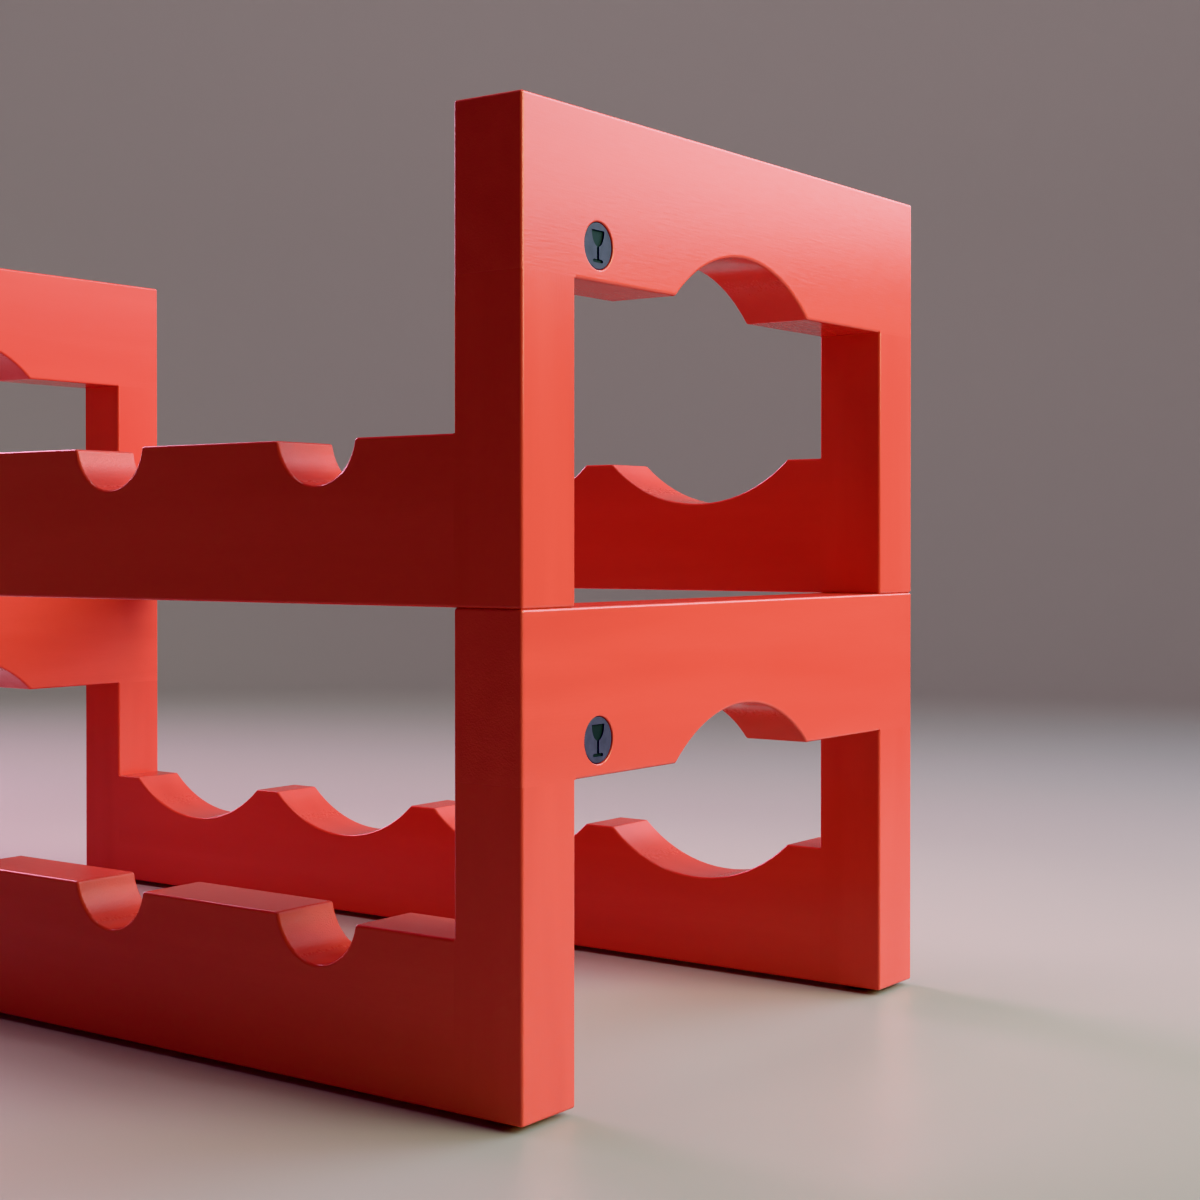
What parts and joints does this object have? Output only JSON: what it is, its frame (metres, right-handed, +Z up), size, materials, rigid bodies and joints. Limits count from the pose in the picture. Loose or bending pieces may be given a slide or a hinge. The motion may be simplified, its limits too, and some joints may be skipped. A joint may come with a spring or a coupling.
{
  "type": "wine rack",
  "caption": "Stackable wooden wine rack: two open modules, notched rails for bottle necks and bodies, arched end beams, round inset badges, rubber feet.",
  "frame": {"origin": "on the ground under the middle of the rack", "axes": "+X along the rails to the end with the badges, +Y from the neck rail (front) to the body rail (rear), +Z up"},
  "size_m": [0.46, 0.245, 0.304],
  "materials": {
    "red_lacquer": "satin lacquer",
    "bare_beech": "bare",
    "badge_plastic": "matte",
    "foot_rubber": "matte"
  },
  "bodies": {
    "lower_module": {"lower_left_front_post": "red_lacquer", "lower_left_rear_post": "red_lacquer", "lower_left_beam": "red_lacquer", "lower_right_front_post": "red_lacquer", "lower_right_rear_post": "red_lacquer", "lower_right_beam": "red_lacquer", "lower_neck_rail": "red_lacquer", "lower_body_rail": "red_lacquer", "lower_beam_dowels": "bare_beech", "lower_rail_dowels": "bare_beech", "lower_badge": "badge_plastic", "stacking_pins": "bare_beech", "rubber_feet": "foot_rubber"},
    "upper_module": {"upper_left_front_post": "red_lacquer", "upper_left_rear_post": "red_lacquer", "upper_left_beam": "red_lacquer", "upper_right_front_post": "red_lacquer", "upper_right_rear_post": "red_lacquer", "upper_right_beam": "red_lacquer", "upper_neck_rail": "red_lacquer", "upper_body_rail": "red_lacquer", "upper_beam_dowels": "bare_beech", "upper_rail_dowels": "bare_beech", "upper_badge": "badge_plastic"}
  },
  "joints": [
    {"name": "upper_module_lift", "type": "slide", "parent": "lower_module", "child": "upper_module", "axis": [0, 0, 1], "range_m": [0, 0.16]}
  ]
}
